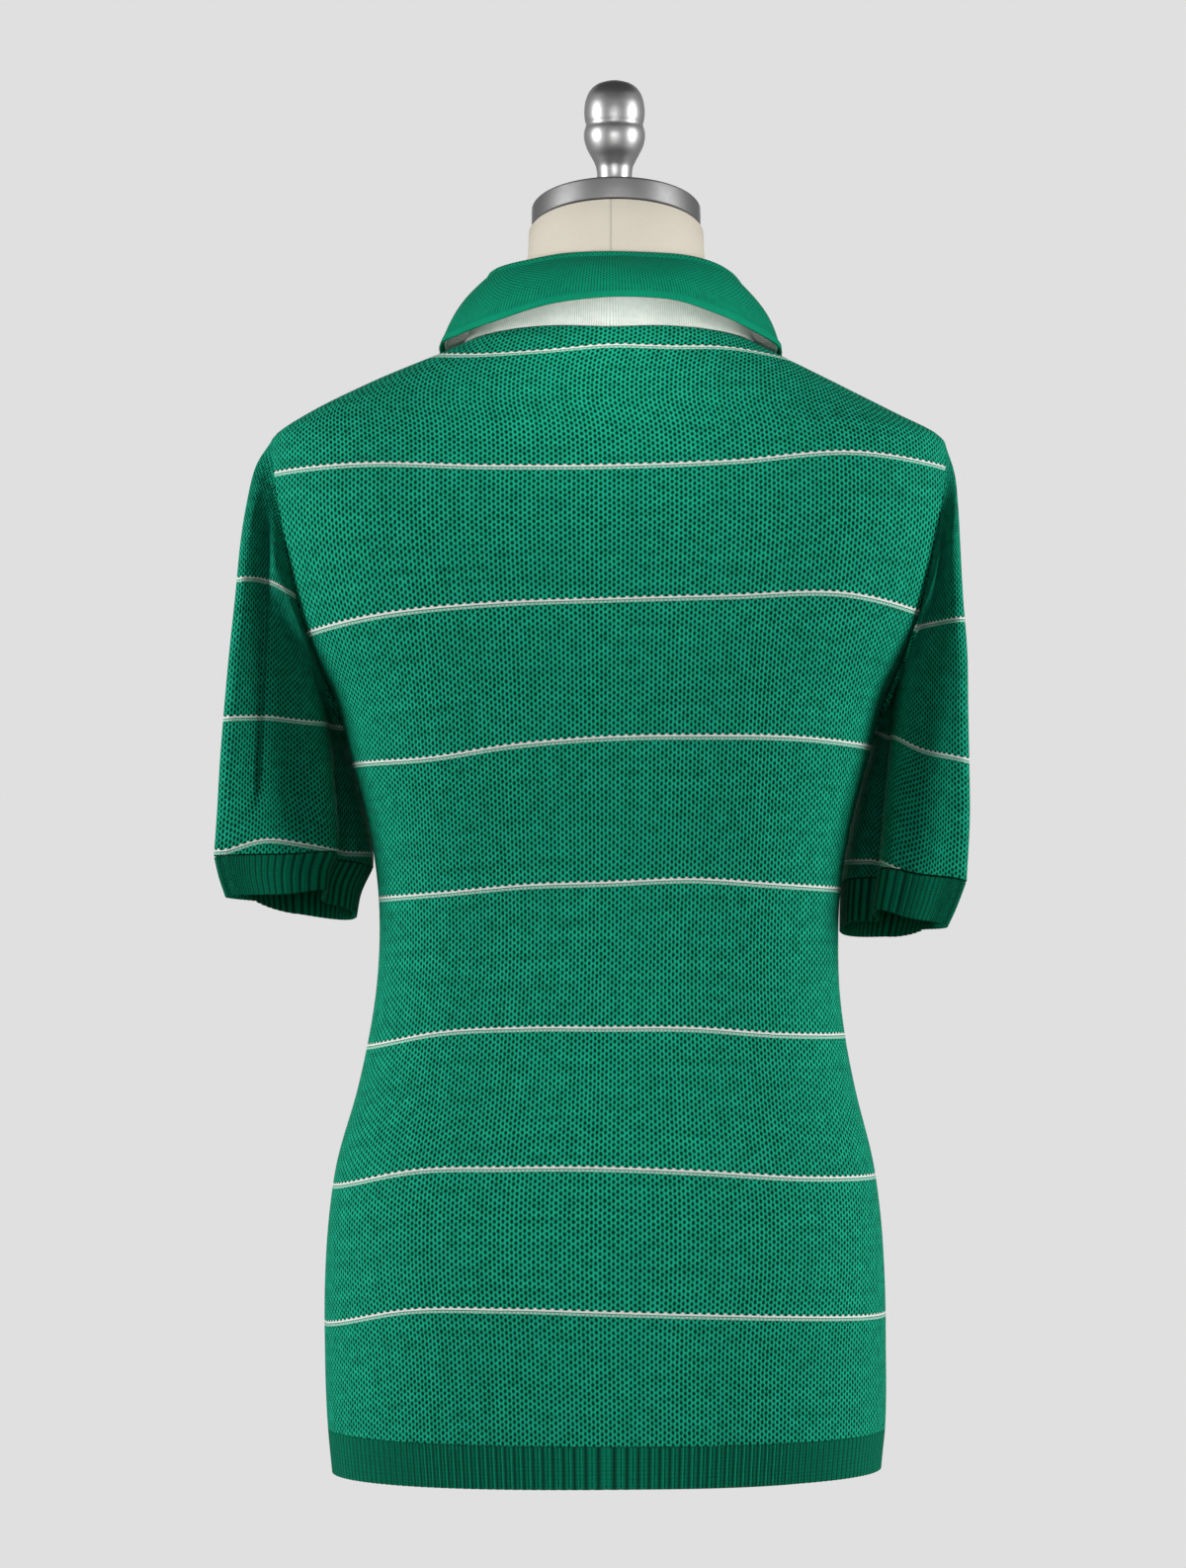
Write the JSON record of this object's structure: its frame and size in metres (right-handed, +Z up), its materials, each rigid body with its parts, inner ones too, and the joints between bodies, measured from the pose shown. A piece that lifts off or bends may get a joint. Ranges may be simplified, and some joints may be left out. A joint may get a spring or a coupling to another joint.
{
  "type": "polo shirt on a limbless dress form",
  "caption": "Short-sleeved knitted polo shirt with a turn-down collar, ribbed cuffs and hem, worn by a limbless dress form with a metal neck cap and knob.",
  "frame": {"origin": "middle of the dress form's flat foot, on the surface that it stands on", "axes": "+Z up through the neck, -Y towards the shirt's front, +X towards the wearer's left"},
  "size_m": [0.464, 0.2536, 0.869],
  "materials": {
    "green_knit": "open honeycomb knit with white stripes",
    "green_rib": "ribbed knit",
    "white_knit": "fine knit",
    "button": "pearly, glossy",
    "form_cover": "cream linen cover",
    "cap_metal": "satin, brushed round",
    "knob_metal": "polished casting"
  },
  "bodies": {
    "root": {"back": "green_knit", "front": "green_knit", "sleeve_left": "green_knit", "sleeve_right": "green_knit", "cuff_left": "green_rib", "cuff_right": "green_rib", "hem_rib": "green_rib", "collar_top": "green_knit", "collar_under": "white_knit", "placket_upper": "green_rib", "placket_under": "green_rib", "button_1": "button", "button_2": "button", "button_3": "button", "form_body": "form_cover", "neck_cap": "cap_metal", "cap_knob": "knob_metal"}
  },
  "joints": []
}
